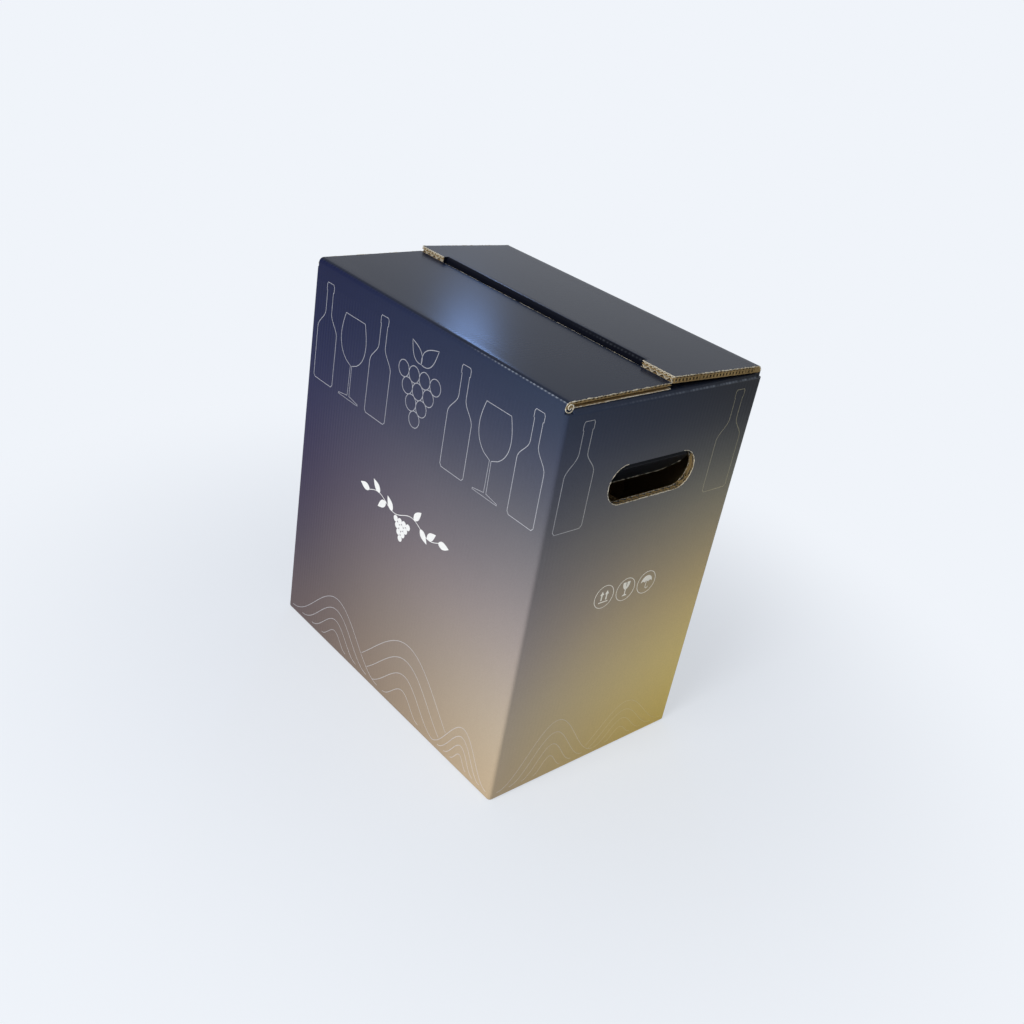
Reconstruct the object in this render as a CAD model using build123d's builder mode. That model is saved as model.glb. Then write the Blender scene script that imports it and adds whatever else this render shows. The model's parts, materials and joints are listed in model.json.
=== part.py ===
"""Printed carton for six wine bottles, closed, with its bottle dividers inside.

One sheet of double-wall corrugated board is folded into four walls, a glued
crash-lock bottom and two inner top flaps. Two outer flaps close the top: the
rear one has a tuck tab, which stands a little proud of the front flap here.
Each end wall has a hand hole whose flap is pushed in.

Millimetres, Z up. The origin is the middle of the base, and the front faces -Y.
"""
import os
from math import cos, radians, sin

from build123d import *

# Board: outer liner, fine flute, middle liner, coarse flute, inner liner
board = 5.0  # thickness of the carton's double-wall board
liner = 0.4
fine_flute_height = 1.4
fine_flute_pitch = 3.5
coarse_flute_pitch = 6.5
flute_web = 0.7  # fluting between two mouths, along the edge
flute_mouth_depth = 4.0  # how far the flutes are open in from a cut edge
edge_groove_depth = 1.5  # how far a cut along the flutes is open

# Bottle cells
divider_board = 3.0  # thickness of the dividers' single-wall board
cell_length = 90.0  # one bottle's room, along the front
cell_width = 90.0  # one bottle's room, along the ends
columns = 3
rows = 2
clear_height = 300.0  # one bottle's room, from the bottom to the inner flaps

# Folds and clearances
corner_fold_radius = 3.0  # outside of the four upright folds
base_fold_radius = 2.0  # outside of the folds round the base
base_fold_limit_share = 0.8  # most of the upright folds' radius that the base folds take
top_fold_radius = 4.0  # outside of the flaps' folds
fold_gap = 0.3  # between two panels that turn against each other
fold_relief = 1.0  # inner edge of a fold, pressed flat by the crease
cut_overrun = 10.0  # how far a cut runs past what it cuts

# Outer flaps
flap_end_inset = 3.0  # each end of a flap, back from the end wall's face
flap_meeting_gap = 1.0  # between the two flaps' edges
rear_flap_lift = 2.5  # degrees that the rear flap stands open
ear_length = 29.0  # plain cut edge at each end, beside the tuck tab
tuck_tab_depth = 22.0  # from the flap's top face
tuck_tab_setback = 2.5  # fold of the tab, back from the flap's edge
tuck_tab_corner_radius = 8.0
tuck_fold_radius = 2.5

# Inner flaps
inner_flap_length = 75.0  # from the end wall's face
inner_flap_side_gap = 1.5  # to the front and rear walls
corner_slot_depth = 2.5  # cut between neighbouring flaps, down into the corner
tuck_notch_room = 6.0  # between the tuck tab and the notch that takes it

# Hand holes
hand_hole_width = 86.0
hand_hole_height = 30.0
hand_hole_drop = 54.0  # from the carton's top to the hole's top edge
hand_flap_kerf = 0.8  # cut line round the flap's free edge
hand_flap_angle = 40.0  # degrees that the flap is pushed in

# Glue lap of the one glued corner
glue_lap_width = 35.0
glue_lap_thickness = 3.0  # pressed thinner than the board
glue_lap_end_gap = 8.0  # short of the bottom and of the inner flaps
glue_lap_bevel = 2.0

# Crash-lock bottom, seen from below
seam_width = 1.2
lock_seam_offset = 18.0  # locking seam, either side of the middle line
lock_hook_length = 30.0  # each hook, from the middle
hook_tip_share = 0.35  # place of a hook's tip along its length
hook_tip_depth_share = 0.5  # how far a tip reaches towards the other panel
end_panel_depth = 26.0
end_panel_middle = 84.0

# Dividers
divider_headroom = 16.0  # from the dividers' top to the hand holes
divider_end_gap = 0.5
divider_slot_gap = 0.4
divider_corner_cut = 8.0

# Worked out from the sizes above
inside_length = columns * cell_length + (columns - 1) * divider_board
inside_width = rows * cell_width + (rows - 1) * divider_board
outer_length = inside_length + 2 * board
outer_width = inside_width + 2 * board
bottom_thickness = 2 * board
inner_flap_bottom = bottom_thickness + clear_height
wall_top = inner_flap_bottom + board
height = wall_top + fold_gap + board
mouth_length = outer_length - 2 * inner_flap_length
flap_length = (outer_width - flap_meeting_gap) / 2
flap_half_width = outer_length / 2 - flap_end_inset
tuck_tab_length = 2 * (flap_half_width - ear_length)
fold_apex = top_fold_radius * (1 - cos(radians(45)))  # a fold's round, in from its sharp corner
coarse_flute_height = board - 3 * liner - fine_flute_height
hand_hole_top = height - hand_hole_drop
hand_hole_middle = hand_hole_top - hand_hole_height / 2
divider_height = hand_hole_top - hand_hole_height - divider_headroom - bottom_thickness

# Each flute's pitch, its place below the printed face and its height
flutes = (
    (fine_flute_pitch, liner, fine_flute_height),
    (coarse_flute_pitch, 2 * liner + fine_flute_height, coarse_flute_height),
)


def flap_section(hinge):
    """A flap's end-on plane: X from its fold to its free edge, Y out of its printed face."""
    corner = hinge.from_local_coords((-fold_apex, fold_apex, 0))
    return Plane(corner, x_dir=hinge.x_dir, z_dir=hinge.z_dir)


def cut_edge(section, along):
    """The plane of a flap's free edge, centred that far along the fold, Y out of the printed face."""
    middle = section.from_local_coords((flap_length, 0, along))
    return Plane(middle, x_dir=section.z_dir * -1, z_dir=section.x_dir)


def flute_mouths(edge, length):
    """Both flutes' open ends in a free edge: mouths in turn above and below the fluting."""
    with BuildSketch(edge) as mouths:
        for pitch, depth, flute_height in flutes:
            count = round(length / pitch) - 1
            half = pitch / 2 - flute_web
            with Locations((0, -depth)):
                with GridLocations(pitch, pitch, count, 1):
                    Polygon((-half, -flute_height), (half, -flute_height), (0, 0), align=None)
                with GridLocations(pitch, pitch, count - 1, 1):
                    Polygon((-half, 0), (0, -flute_height), (half, 0), align=None)
    return mouths.sketch


def edge_grooves(end):
    """Both flutes laid open in a flap's end, where the cut runs along them."""
    with BuildSketch(end) as grooves:
        for _, depth, flute_height in flutes:
            with Locations((top_fold_radius, -depth)):
                length = flap_length - flute_mouth_depth - 2 * top_fold_radius
                Rectangle(length, flute_height, align=(Align.MIN, Align.MAX))
    return grooves.sketch


os.makedirs("parts", exist_ok=True)


# Carton: walls, bottom and inner flaps of the one folded sheet
with BuildPart() as carton:
    with BuildSketch():
        RectangleRounded(outer_length, outer_width, corner_fold_radius)
    extrude(amount=wall_top)
    base_edges = carton.edges().group_by(Axis.Z)[0]
    fillet(base_edges, min(base_fold_radius, base_fold_limit_share * corner_fold_radius))

    # The end walls turn over into the inner flaps in a round fold
    with BuildSketch(Plane.XZ):
        with Locations((outer_length / 2 - top_fold_radius, wall_top - top_fold_radius)):
            Rectangle(top_fold_radius, top_fold_radius, align=Align.MIN)
            Circle(top_fold_radius, mode=Mode.SUBTRACT)
        mirror(about=Plane.YZ)
    extrude(amount=outer_width, both=True, mode=Mode.SUBTRACT)

    # Room for the bottles
    with BuildSketch(Plane.XY.offset(bottom_thickness)):
        Rectangle(inside_length, inside_width)
    extrude(amount=clear_height, mode=Mode.SUBTRACT)

    # Mouth between the inner flaps, their side gaps and their notches for the tuck tab
    with BuildSketch(Plane.XY.offset(inner_flap_bottom)):
        Rectangle(mouth_length, inside_width)
        for side, edge in ((-1, Align.MIN), (1, Align.MAX)):
            with Locations((0, side * inside_width / 2)):
                Rectangle(inside_length, inner_flap_side_gap, align=(Align.CENTER, edge))
        SlotOverall(tuck_tab_length + 2 * tuck_notch_room, 2 * (tuck_tab_setback + board + tuck_notch_room))
    extrude(amount=board + cut_overrun, mode=Mode.SUBTRACT)

    # Slots at the four corners, which part the outer flaps from the inner ones
    with BuildSketch(Plane.XY.offset(wall_top - corner_slot_depth)):
        with GridLocations(outer_length, outer_width, 2, 2):
            Rectangle(2 * flap_end_inset, 2 * (board + inner_flap_side_gap))
    extrude(amount=corner_slot_depth + cut_overrun, mode=Mode.SUBTRACT)

    # Hand holes, through both end walls
    with BuildSketch(Plane.YZ):
        with Locations((0, hand_hole_middle)):
            SlotOverall(hand_hole_width, hand_hole_height)
    extrude(amount=outer_length, both=True, mode=Mode.SUBTRACT)

    # Glue lap, inside the rear wall at the left corner
    with BuildSketch(Plane.XY.offset(bottom_thickness + glue_lap_end_gap)) as lap:
        with Locations((-inside_length / 2, inside_width / 2)):
            Rectangle(glue_lap_width, glue_lap_thickness, align=(Align.MIN, Align.MAX))
        chamfer(lap.vertices().group_by(Axis.X)[-1].sort_by(Axis.Y)[0], glue_lap_bevel)
    extrude(amount=clear_height - 2 * glue_lap_end_gap)

    # Seams of the crash-lock bottom: two hooked main panels between two end panels
    end_seam = inside_length / 2 - end_panel_depth
    hook_tip = (hook_tip_share * lock_hook_length, hook_tip_depth_share * lock_seam_offset)
    with BuildSketch():
        with BuildLine():
            Polyline(
                (-end_seam, lock_seam_offset),
                (-lock_hook_length, lock_seam_offset),
                (-hook_tip[0], -hook_tip[1]),
                hook_tip,
                (lock_hook_length, -lock_seam_offset),
                (end_seam, -lock_seam_offset),
            )
        trace(line_width=seam_width)
        for side in (-1, 1):
            with BuildLine():
                Polyline(
                    (side * inside_length / 2, -inside_width / 2),
                    (side * end_seam, -end_panel_middle / 2),
                    (side * end_seam, end_panel_middle / 2),
                    (side * inside_length / 2, inside_width / 2),
                )
            trace(line_width=seam_width)
    extrude(amount=board, mode=Mode.SUBTRACT)
carton.part.label = "carton"
export_step(carton.part, "parts/carton.step")


# Front flap: flat, turning about the outside of its fold at the front wall's top
front_hinge = Plane((0, fold_apex - outer_width / 2, height - fold_apex), x_dir=(0, 1, 0), z_dir=(1, 0, 0))
front_section = flap_section(front_hinge)
with BuildPart() as front_flap:
    with BuildSketch(front_section) as front_profile:
        Rectangle(flap_length, board, align=(Align.MIN, Align.MAX))
        fillet(front_profile.vertices().group_by(Axis.X)[0].sort_by(Axis.Y)[-1], top_fold_radius)
        chamfer(front_profile.vertices().group_by(Axis.X)[0].sort_by(Axis.Y)[0], fold_relief)
    extrude(amount=flap_half_width, both=True)
    mouths = flute_mouths(cut_edge(front_section, 0), 2 * flap_half_width)
    extrude(mouths, amount=-flute_mouth_depth, mode=Mode.SUBTRACT)
    for side in (-1, 1):
        grooves = edge_grooves(front_section.offset(side * flap_half_width))
        extrude(grooves, amount=-side * edge_groove_depth, mode=Mode.SUBTRACT)
front_flap.part.label = "front_flap"
export_step(front_flap.part, "parts/front_flap.step")


# Rear flap: a strip of cut edge at each end, and between them the tuck tab turned down
lift = radians(rear_flap_lift)
rear_hinge = Plane(
    (0, outer_width / 2 - fold_apex, height - fold_apex),
    x_dir=(0, -cos(lift), sin(lift)),
    z_dir=(-1, 0, 0),
)
rear_section = flap_section(rear_hinge)
tab_face = flap_length - tuck_tab_setback
with BuildPart() as rear_flap:
    with BuildSketch(rear_section) as tab_profile:
        Rectangle(tab_face, board, align=(Align.MIN, Align.MAX))
        with Locations((tab_face, 0)):
            Rectangle(board, tuck_tab_depth, align=Align.MAX)
        fillet(tab_profile.vertices().group_by(Axis.X)[0].sort_by(Axis.Y)[-1], top_fold_radius)
        chamfer(tab_profile.vertices().group_by(Axis.X)[0].sort_by(Axis.Y)[0], fold_relief)
        fillet(tab_profile.vertices().group_by(Axis.X)[-1].sort_by(Axis.Y)[-1], tuck_fold_radius)
    extrude(amount=tuck_tab_length / 2, both=True)
    tab_tip = rear_flap.faces().sort_by(Axis.Z)[0]
    fillet(tab_tip.edges().sort_by(SortBy.LENGTH)[:2], tuck_tab_corner_radius)
    with BuildSketch(rear_section.offset(tuck_tab_length / 2)) as ear_profile:
        Rectangle(flap_length, board, align=(Align.MIN, Align.MAX))
        fillet(ear_profile.vertices().group_by(Axis.X)[0].sort_by(Axis.Y)[-1], top_fold_radius)
        chamfer(ear_profile.vertices().group_by(Axis.X)[0].sort_by(Axis.Y)[0], fold_relief)
    extrude(amount=ear_length)
    mirror(about=Plane.YZ)
    for side in (-1, 1):
        mouths = flute_mouths(cut_edge(rear_section, side * (tuck_tab_length + ear_length) / 2), ear_length)
        extrude(mouths, amount=-flute_mouth_depth, mode=Mode.SUBTRACT)
        grooves = edge_grooves(rear_section.offset(side * flap_half_width))
        extrude(grooves, amount=-side * edge_groove_depth, mode=Mode.SUBTRACT)
rear_flap.part.label = "rear_flap"
export_step(rear_flap.part, "parts/rear_flap.step")


# Hand-hole flaps: each hangs from the top edge of its hole, pushed into the carton
push = radians(hand_flap_angle)
hand_flap_height = hand_hole_height - fold_gap - hand_flap_kerf
for name, side in (("right_hand_flap", 1), ("left_hand_flap", -1)):
    hand_hinge = Plane(
        (side * inside_length / 2, 0, hand_hole_top),
        x_dir=(0, side, 0),
        z_dir=(side * cos(push), 0, -sin(push)),
    )
    with BuildPart() as hand_flap:
        with BuildSketch(hand_hinge):
            with Locations((0, -fold_gap - hand_flap_height / 2)):
                SlotOverall(hand_hole_width - 2 * hand_flap_kerf, hand_flap_height)
        extrude(amount=board)
    hand_flap.part.label = name
    export_step(hand_flap.part, f"parts/{name}.step")


# Dividers: long and cross boards, slotted into each other at half height
slot_width = divider_board + 2 * divider_slot_gap
half_height = divider_height / 2
cross_places = [(i - (columns - 2) / 2) * (cell_length + divider_board) for i in range(columns - 1)]
long_places = [(i - (rows - 2) / 2) * (cell_width + divider_board) for i in range(rows - 1)]

for number, place in enumerate(long_places, 1):
    name = f"long_divider_{number}"
    with BuildPart() as long_divider:
        with BuildSketch(Plane.XZ.offset(-place)) as outline:
            with Locations((0, bottom_thickness)):
                Rectangle(inside_length - 2 * divider_end_gap, divider_height, align=(Align.CENTER, Align.MIN))
            chamfer(outline.vertices().group_by(Axis.Y)[-1], divider_corner_cut)
            with Locations([(x, bottom_thickness + divider_height) for x in cross_places]):
                depth = half_height + divider_slot_gap
                Rectangle(slot_width, depth, align=(Align.CENTER, Align.MAX), mode=Mode.SUBTRACT)
        extrude(amount=divider_board / 2, both=True)
    long_divider.part.label = name
    export_step(long_divider.part, f"parts/{name}.step")

for number, place in enumerate(cross_places, 1):
    name = f"cross_divider_{number}"
    with BuildPart() as cross_divider:
        with BuildSketch(Plane.YZ.offset(place)) as outline:
            with Locations((0, bottom_thickness)):
                Rectangle(inside_width - 2 * divider_end_gap, divider_height, align=(Align.CENTER, Align.MIN))
            chamfer(outline.vertices().group_by(Axis.Y)[-1], divider_corner_cut)
            with Locations([(y, bottom_thickness) for y in long_places]):
                Rectangle(slot_width, half_height, align=(Align.CENTER, Align.MIN), mode=Mode.SUBTRACT)
        extrude(amount=divider_board / 2, both=True)
    cross_divider.part.label = name
    export_step(cross_divider.part, f"parts/{name}.step")
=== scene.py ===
"""A printed carton for six wine bottles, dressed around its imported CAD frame. Metres, Z up."""

import json
import math
import random

import bpy
from mathutils import Matrix, Vector


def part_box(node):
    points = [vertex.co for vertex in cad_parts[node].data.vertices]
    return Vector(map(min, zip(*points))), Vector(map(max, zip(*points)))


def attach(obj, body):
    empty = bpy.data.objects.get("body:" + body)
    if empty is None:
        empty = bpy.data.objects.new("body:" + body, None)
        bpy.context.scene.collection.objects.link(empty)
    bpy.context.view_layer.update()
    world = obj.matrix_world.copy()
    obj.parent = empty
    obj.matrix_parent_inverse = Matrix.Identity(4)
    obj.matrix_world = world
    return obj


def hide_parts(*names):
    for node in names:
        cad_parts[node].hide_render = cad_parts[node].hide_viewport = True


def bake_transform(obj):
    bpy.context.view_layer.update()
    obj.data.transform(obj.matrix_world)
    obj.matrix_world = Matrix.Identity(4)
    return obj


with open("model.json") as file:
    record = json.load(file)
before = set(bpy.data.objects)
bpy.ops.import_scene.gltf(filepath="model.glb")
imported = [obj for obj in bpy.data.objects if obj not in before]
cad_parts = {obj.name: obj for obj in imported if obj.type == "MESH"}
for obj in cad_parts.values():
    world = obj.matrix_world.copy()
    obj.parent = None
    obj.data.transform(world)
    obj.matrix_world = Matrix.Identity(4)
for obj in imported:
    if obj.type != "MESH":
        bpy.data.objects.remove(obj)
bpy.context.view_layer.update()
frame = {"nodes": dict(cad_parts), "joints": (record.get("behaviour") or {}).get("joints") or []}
bpy.ops.object.select_all(action="DESELECT")

# The carton: walls, crash-lock bottom and inner flaps, folded from one die-cut sheet of
# double-wall board. The outer liner is coated white paper, offset printed with a dusk-sky
# fade and varnished; the inner liner is bare brown kraft, glued along one corner lap.
carton_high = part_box("carton")[1]
half_length, half_width = carton_high.x, carton_high.y
board = 0.005
fine_pitch, coarse_pitch = 0.0035, 0.0065
hinges = {joint["name"]: Vector(joint["pos_m"]) for joint in frame["joints"]}


def tint(red, green, blue):
    """A colour given as 0 to 255, as the linear value that a shader takes."""
    shares = [value / 255 for value in (red, green, blue)]
    return tuple(((s + 0.055) / 1.055) ** 2.4 if s > 0.04 else s / 12.92 for s in shares) + (1,)


def add_node(tree, kind, sockets=None, **settings):
    """A shader node with its settings, and each socket given a value or another node's output."""
    made = tree.nodes.new(kind)
    for key, value in settings.items():
        setattr(made, key, value)
    for key, value in (sockets or {}).items():
        if isinstance(value, bpy.types.NodeSocket):
            tree.links.new(value, made.inputs[key])
        else:
            made.inputs[key].default_value = value
    return made


def add_math(tree, operation, first, second=0.0):
    return add_node(tree, "ShaderNodeMath", {0: first, 1: second}, operation=operation).outputs[0]


def multiply(tree, product, *factors):
    for factor in factors:
        product = add_math(tree, "MULTIPLY", product, factor)
    return product


def add_range(tree, value, start, end, low=0.0, high=1.0, kind="LINEAR"):
    """A value's place between start and end, as a number from low to high."""
    sockets = {"Value": value, "From Min": start, "From Max": end, "To Min": low, "To Max": high}
    return add_node(tree, "ShaderNodeMapRange", sockets, interpolation_type=kind).outputs["Result"]


def mix_colour(tree, factor, first, second):
    """Two colours mixed. The node's sockets for colours come after those for numbers and vectors."""
    return add_node(tree, "ShaderNodeMix", {0: factor, 6: first, 7: second}, data_type="RGBA").outputs[2]


def add_noise(tree, place, scale, detail, **sockets):
    sockets = {"Vector": place, "Scale": scale, "Detail": detail, **sockets}
    return add_node(tree, "ShaderNodeTexNoise", sockets).outputs["Fac"]


def add_ramp(tree, factor, stops):
    ramp = add_node(tree, "ShaderNodeValToRGB", {"Fac": factor})
    ramp.color_ramp.interpolation = "B_SPLINE"
    while len(ramp.color_ramp.elements) < len(stops):
        ramp.color_ramp.elements.new(0.5)
    for element, (place, colour) in zip(ramp.color_ramp.elements, stops):
        element.position = place
        element.color = colour
    return ramp.outputs["Color"]


def new_group(name, inputs, outputs):
    """An empty shader group with those named sockets, and its input and output nodes."""
    tree = bpy.data.node_groups.new(name, "ShaderNodeTree")
    for socket, value in inputs.items():
        made = tree.interface.new_socket(name=socket, in_out="INPUT", socket_type="NodeSocketFloat")
        made.default_value = value
    for socket, kind in outputs.items():
        tree.interface.new_socket(name=socket, in_out="OUTPUT", socket_type=kind)
    return tree, tree.nodes.new("NodeGroupInput"), tree.nodes.new("NodeGroupOutput")


def add_group(tree, group, sockets=None):
    return add_node(tree, "ShaderNodeGroup", sockets, node_tree=group).outputs


# Dusk print: three fades up the height, cool at the front left corner, golden at the rear right
sky_group, _, sky_out = new_group(
    "dusk_print", {}, {"Color": "NodeSocketColor", "Warmth": "NodeSocketFloat"})
sky_place = add_node(sky_group, "ShaderNodeTexCoord").outputs["Object"]
sky_xyz = add_node(sky_group, "ShaderNodeSeparateXYZ", {0: sky_place}).outputs
sky_drift = add_range(sky_group, add_noise(sky_group, sky_place, 6.0, 2.0), 0.0, 1.0, -0.03, 0.03)
sky_height = add_math(sky_group, "DIVIDE", sky_xyz["Z"], carton_high.z)
sky_height = add_math(sky_group, "ADD", sky_height, sky_drift)
sky_around = add_math(sky_group, "ADD", sky_xyz["X"], sky_xyz["Y"])
corner_around, far_around = half_length - half_width, half_length + half_width
cool_fade = add_ramp(sky_group, sky_height, (
    (0.0, tint(95, 80, 78)), (0.22, tint(66, 58, 72)), (0.45, tint(46, 36, 64)),
    (0.68, tint(30, 32, 66)), (0.86, tint(6, 17, 57)), (1.0, tint(11, 18, 53))))
middle_fade = add_ramp(sky_group, sky_height, (
    (0.0, tint(184, 162, 131)), (0.22, tint(179, 163, 140)), (0.45, tint(150, 139, 136)),
    (0.68, tint(100, 99, 102)), (0.86, tint(63, 67, 84)), (1.0, tint(40, 50, 69))))
warm_fade = add_ramp(sky_group, sky_height, (
    (0.0, tint(209, 177, 66)), (0.22, tint(234, 208, 127)), (0.45, tint(198, 171, 117)),
    (0.68, tint(136, 132, 113)), (0.86, tint(43, 46, 54)), (1.0, tint(4, 6, 11))))
to_middle = add_range(sky_group, sky_around, -far_around, corner_around)
to_middle = add_math(sky_group, "POWER", to_middle, 1.25)
to_warm = add_range(sky_group, sky_around, corner_around, far_around)
sky_colour = mix_colour(sky_group, to_middle, cool_fade, middle_fade)
sky_colour = mix_colour(sky_group, to_warm, sky_colour, warm_fade)
sky_group.links.new(sky_colour, sky_out.inputs["Color"])
sky_group.links.new(to_warm, sky_out.inputs["Warmth"])

# Paper grain: washboard of the flutes under the liner, uneven fibres, patches and specks
grain_group, grain_in, grain_out = new_group(
    "paper_grain", {"Across": 0.0, "Ripple": 0.3, "Fibre": 0.3},
    {"Height": "NodeSocketFloat", "Patch": "NodeSocketFloat", "Speck": "NodeSocketFloat"})
grain_place = add_node(grain_group, "ShaderNodeTexCoord").outputs["Object"]
grain_turns = multiply(grain_group, grain_in.outputs["Across"], 2 * math.pi / fine_pitch)
grain_wave = add_math(grain_group, "SINE", grain_turns)
grain_fibre = add_noise(grain_group, grain_place, 900.0, 3.0, Roughness=0.65)
grain_patch = add_noise(grain_group, grain_place, 28.0, 4.0)
grain_speck = add_noise(grain_group, grain_place, 1500.0, 2.0)
grain_uneven = add_range(grain_group, grain_patch, 0.35, 0.65, 0.2, 1.0)
grain_ripple = multiply(grain_group, grain_wave, grain_in.outputs["Ripple"], grain_uneven)
grain_fuzz = multiply(grain_group, grain_fibre, grain_in.outputs["Fibre"])
grain_group.links.new(add_math(grain_group, "ADD", grain_ripple, grain_fuzz), grain_out.inputs["Height"])
grain_group.links.new(grain_patch, grain_out.inputs["Patch"])
grain_group.links.new(grain_speck, grain_out.inputs["Speck"])


def new_material(name, roughness, shine):
    """A material with its Principled shader, and the place on the piece as X, Y and Z."""
    made = bpy.data.materials.new(name)
    made.use_nodes = True
    tree = made.node_tree
    shader = tree.nodes["Principled BSDF"]
    shader.inputs["Roughness"].default_value = roughness
    shader.inputs["Specular IOR Level"].default_value = shine
    place = add_node(tree, "ShaderNodeTexCoord").outputs["Object"]
    return made, tree, shader, add_node(tree, "ShaderNodeSeparateXYZ", {0: place}).outputs


def add_bump(tree, shader, height, strength, distance):
    sockets = {"Height": height, "Strength": strength, "Distance": distance}
    bump = add_node(tree, "ShaderNodeBump", sockets)
    tree.links.new(bump.outputs["Normal"], shader.inputs["Normal"])


def printed_material(name, across, ripple, shine, overprint=None, cover=0.0, wear_and_highlight=None, roughness=0.28):
    """Varnished print on white paper. Across is X, or XY on a wall: the way across the flutes.
    A dark overprint covers some of the fade, and on the tab and hand-hole flaps it is painted shade. The
    mask of wear and highlight gives where the paper shows pale: worn print, and on the end folds also a
    painted highlight."""
    made, tree, shader, place = new_material(name, roughness, shine)
    way = place["X"] if across == "X" else add_math(tree, "ADD", place["X"], place["Y"])
    grain = add_group(tree, grain_group, {"Across": way, "Ripple": ripple})
    colour = add_group(tree, sky_group)["Color"]
    if overprint:
        colour = mix_colour(tree, cover, colour, overprint)
    mottle = add_range(tree, grain["Speck"], 0.3, 0.7, 0.95, 1.05)
    mottled = add_node(tree, "ShaderNodeVectorMath", {0: colour, 1: mottle}, operation="MULTIPLY")
    colour = mottled.outputs["Vector"]
    if wear_and_highlight:
        colour = mix_colour(tree, wear_and_highlight(tree, place), colour, tint(172, 180, 192))
    tree.links.new(colour, shader.inputs["Base Color"])
    add_bump(tree, shader, grain["Height"], 0.25, 0.00012)
    return made


def kraft_material(name, colour, dark, roughness=0.85):
    """Bare kraft paper with long fibres and dark specks."""
    made, tree, shader, place = new_material(name, roughness, 0.2)
    grain = add_group(tree, grain_group, {"Across": place["X"], "Ripple": 0.1, "Fibre": 0.7})
    base = mix_colour(tree, add_range(tree, grain["Patch"], 0.3, 0.7), colour, dark)
    speck = add_range(tree, grain["Speck"], 0.64, 0.74, 0.0, 0.4)
    tree.links.new(mix_colour(tree, speck, base, tint(72, 56, 36)), shader.inputs["Base Color"])
    add_bump(tree, shader, grain["Height"], 0.4, 0.0001)
    return made


# Fold dots: a row of pale dots, where the flutes press through a fold and crack the print. A high Between
# joins them in a pale band, which is a painted highlight.
dot_inputs = ("Along", "Height", "Middle", "Spread", "First", "Last", "Between")
dot_group, dot_in, dot_out = new_group(
    "fold_dots", dict.fromkeys(dot_inputs, 0.1), {"Mask": "NodeSocketFloat"})
dot_place = add_node(dot_group, "ShaderNodeTexCoord").outputs["Object"]
dot_at = dot_in.outputs
dot_wander = add_noise(dot_group, dot_place, 160.0, 1.0)
dot_shift = add_range(dot_group, dot_wander, 0.3, 0.7, -1.2, 1.2)
dot_turns = multiply(dot_group, dot_at["Along"], 2 * math.pi / fine_pitch)
dot_wave = add_math(dot_group, "SINE", add_math(dot_group, "ADD", dot_turns, dot_shift))
dot_row = add_range(dot_group, dot_wave, -0.5, 0.7, dot_at["Between"], 1.0, "SMOOTHSTEP")
dot_faint = add_range(dot_group, dot_wander, 0.35, 0.6, 0.3, 1.0)
dot_off = add_math(dot_group, "SUBTRACT", dot_at["Height"], dot_at["Middle"])
dot_away = add_math(dot_group, "ABSOLUTE", dot_off)
dot_band = add_range(dot_group, dot_away, 0.0, dot_at["Spread"], 1.0, 0.0, "SMOOTHSTEP")
dot_along = add_range(dot_group, dot_at["Along"], dot_at["First"], dot_at["Last"], kind="SMOOTHSTEP")
dot_mask = multiply(dot_group, dot_row, dot_faint, dot_band, dot_along)
dot_group.links.new(dot_mask, dot_out.inputs["Mask"])


def fold_dots(way, middle, spread, first, last, between, strength):
    """The wear of a fold that runs along X or Y, for a printed material, and with a high between also a
    pale band, a painted highlight. It grows from first to last.
    """
    def wear_and_highlight(tree, place):
        values = (place[way], place["Z"], middle, spread, first, last, between)
        mask = add_group(tree, dot_group, dict(zip(dot_inputs, values)))["Mask"]
        return multiply(tree, mask, strength)
    return wear_and_highlight


# The end folds: pale dots of cracked print, joined by a pale band that is a painted highlight along the
# round fold, growing towards the rear.
end_fold = carton_high.z - 0.0022
end_fold_wear_and_highlight = fold_dots("Y", end_fold, 0.0011, -half_width, half_width, 0.5, 0.36)
wall_print = printed_material("wall_print", "XY", 0.7, 0.08, wear_and_highlight=end_fold_wear_and_highlight)
kraft_liner = kraft_material("kraft_liner", tint(166, 140, 100), tint(157, 131, 92))
cut_kraft = kraft_material("cut_kraft", tint(160, 136, 92), tint(130, 107, 68))
torn_paper = kraft_material("torn_paper", tint(214, 206, 188), tint(192, 180, 154), 0.9)
# Dark kraft for the hollows in the ragged flute ends: painted shade.
painted_flute_shade = kraft_material("painted_flute_shade", tint(66, 52, 30), tint(50, 39, 22))


def only(piece):
    """That piece alone is selected and active, in object mode."""
    if bpy.context.object and bpy.context.object.mode != "OBJECT":
        bpy.ops.object.mode_set(mode="OBJECT")
    bpy.ops.object.select_all(action="DESELECT")
    piece.select_set(True)
    bpy.context.view_layer.objects.active = piece
    return piece


def add_object(name, data):
    piece = bpy.data.objects.new(name, data)
    bpy.context.scene.collection.objects.link(piece)
    return piece


def paint(piece, *colours):
    """Those materials alone, in that order."""
    piece.data.materials.clear()
    for colour in colours:
        piece.data.materials.append(colour)


def cad_copy(node, name):
    """A new piece with a copy of a CAD node's mesh, its loose triangles merged into one skin."""
    piece = only(add_object(name, frame["nodes"][node].data.copy()))
    paint(piece)
    bpy.ops.mesh.customdata_custom_splitnormals_clear()
    bpy.ops.object.mode_set(mode="EDIT")
    bpy.ops.mesh.select_all(action="SELECT")
    bpy.ops.mesh.remove_doubles(threshold=2e-6)
    bpy.ops.mesh.dissolve_limited(angle_limit=math.radians(0.5))
    bpy.ops.object.mode_set(mode="OBJECT")
    return piece


def apply_modifier(piece, kind, **settings):
    only(piece)
    made = piece.modifiers.new(kind.lower(), kind)
    for key, value in settings.items():
        setattr(made, key, value)
    bpy.ops.object.modifier_apply(modifier=made.name)


def combine(piece, tool, operation):
    apply_modifier(piece, "BOOLEAN", object=tool, operation=operation, solver="EXACT")


def remove(*pieces):
    for piece in pieces:
        bpy.data.objects.remove(piece, do_unlink=True)


carton = cad_copy("carton", "carton_board")

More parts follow.
